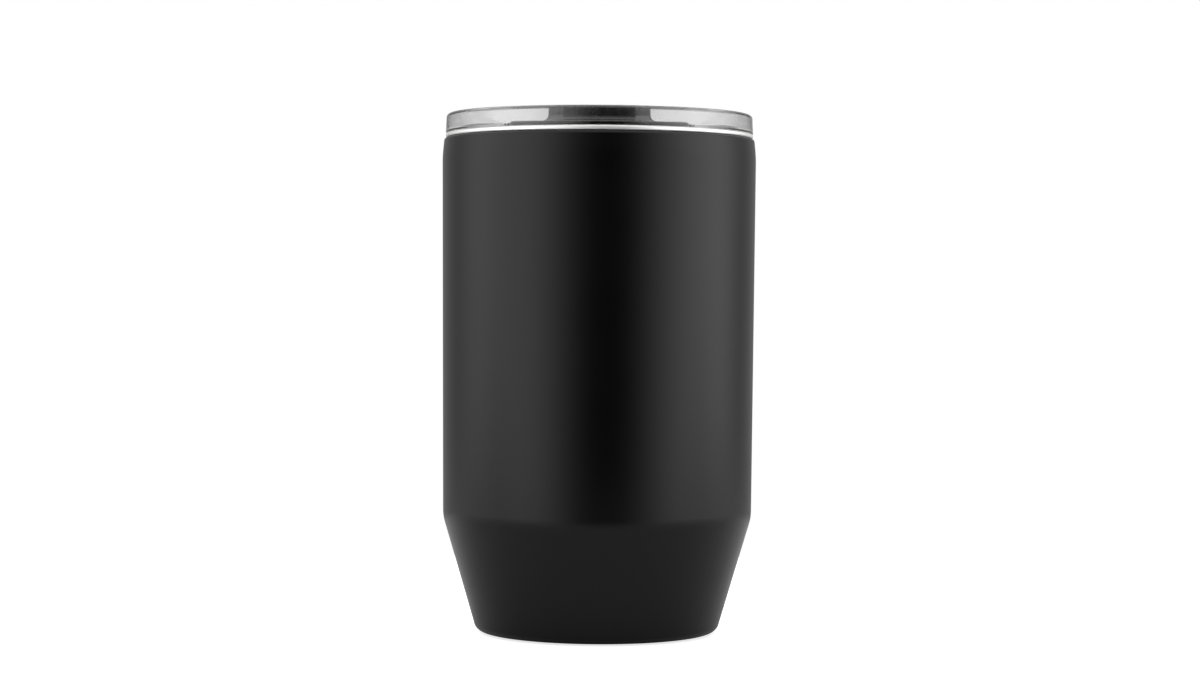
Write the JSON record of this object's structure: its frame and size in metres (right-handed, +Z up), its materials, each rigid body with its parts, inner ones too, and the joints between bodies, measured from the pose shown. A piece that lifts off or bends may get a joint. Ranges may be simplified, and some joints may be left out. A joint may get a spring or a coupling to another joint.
{
  "type": "insulated tumbler",
  "caption": "Double-wall vacuum insulated steel tumbler, straight above and tapered below, with a clear press-in lid that has a sliding closure.",
  "frame": {"origin": "centre of the foot, on the surface that it stands on", "axes": "+Z up the tumbler's axis, -Y towards the drinking side, +X to the right of someone facing it"},
  "size_m": [0.08, 0.08, 0.1323],
  "materials": {
    "powder_coat": "matte black powder coat with a fine texture",
    "liner_steel": "fine circular brushing, polished at the lip",
    "foil": "bright rolled foil with light wrinkles",
    "raw_steel": "as pressed, satin",
    "solder_glass": "fused bead, glossy",
    "getter_alloy": "pressed and sintered powder",
    "black_silicone": "moulded, matte",
    "clear_silicone": "moulded, translucent",
    "clear_plastic": "moulded clear, polished",
    "black_plastic": "moulded satin with a polished plate"
  },
  "bodies": {
    "tumbler": {"outer_shell": "powder_coat", "inner_liner": "liner_steel", "liner_bottom": "liner_steel", "reflective_foil": "foil", "vacuum_base": "raw_steel", "port_seal": "solder_glass", "getter_clip": "raw_steel", "getter_pill": "getter_alloy", "base_cover": "powder_coat", "foot_pad": "black_silicone"},
    "gasket": {"lid_gasket": "clear_silicone"},
    "lid": {"lid_body": "clear_plastic"},
    "slider": {"slider": "black_plastic", "slider_seal": "black_silicone", "slider_retainer": "black_plastic"}
  },
  "joints": [
    {"name": "lid_lift", "type": "slide", "parent": "tumbler", "child": "gasket", "axis": [0, 0, 1], "range_m": [0, 0.045]},
    {"name": "lid_turn", "type": "hinge", "parent": "gasket", "child": "lid", "pos_m": [0, 0, 0.127], "axis": [0, 0, 1], "continuous": true},
    {"name": "slider_slide", "type": "slide", "parent": "lid", "child": "slider", "axis": [0, 1, 0], "range_m": [0, 0.011]}
  ]
}
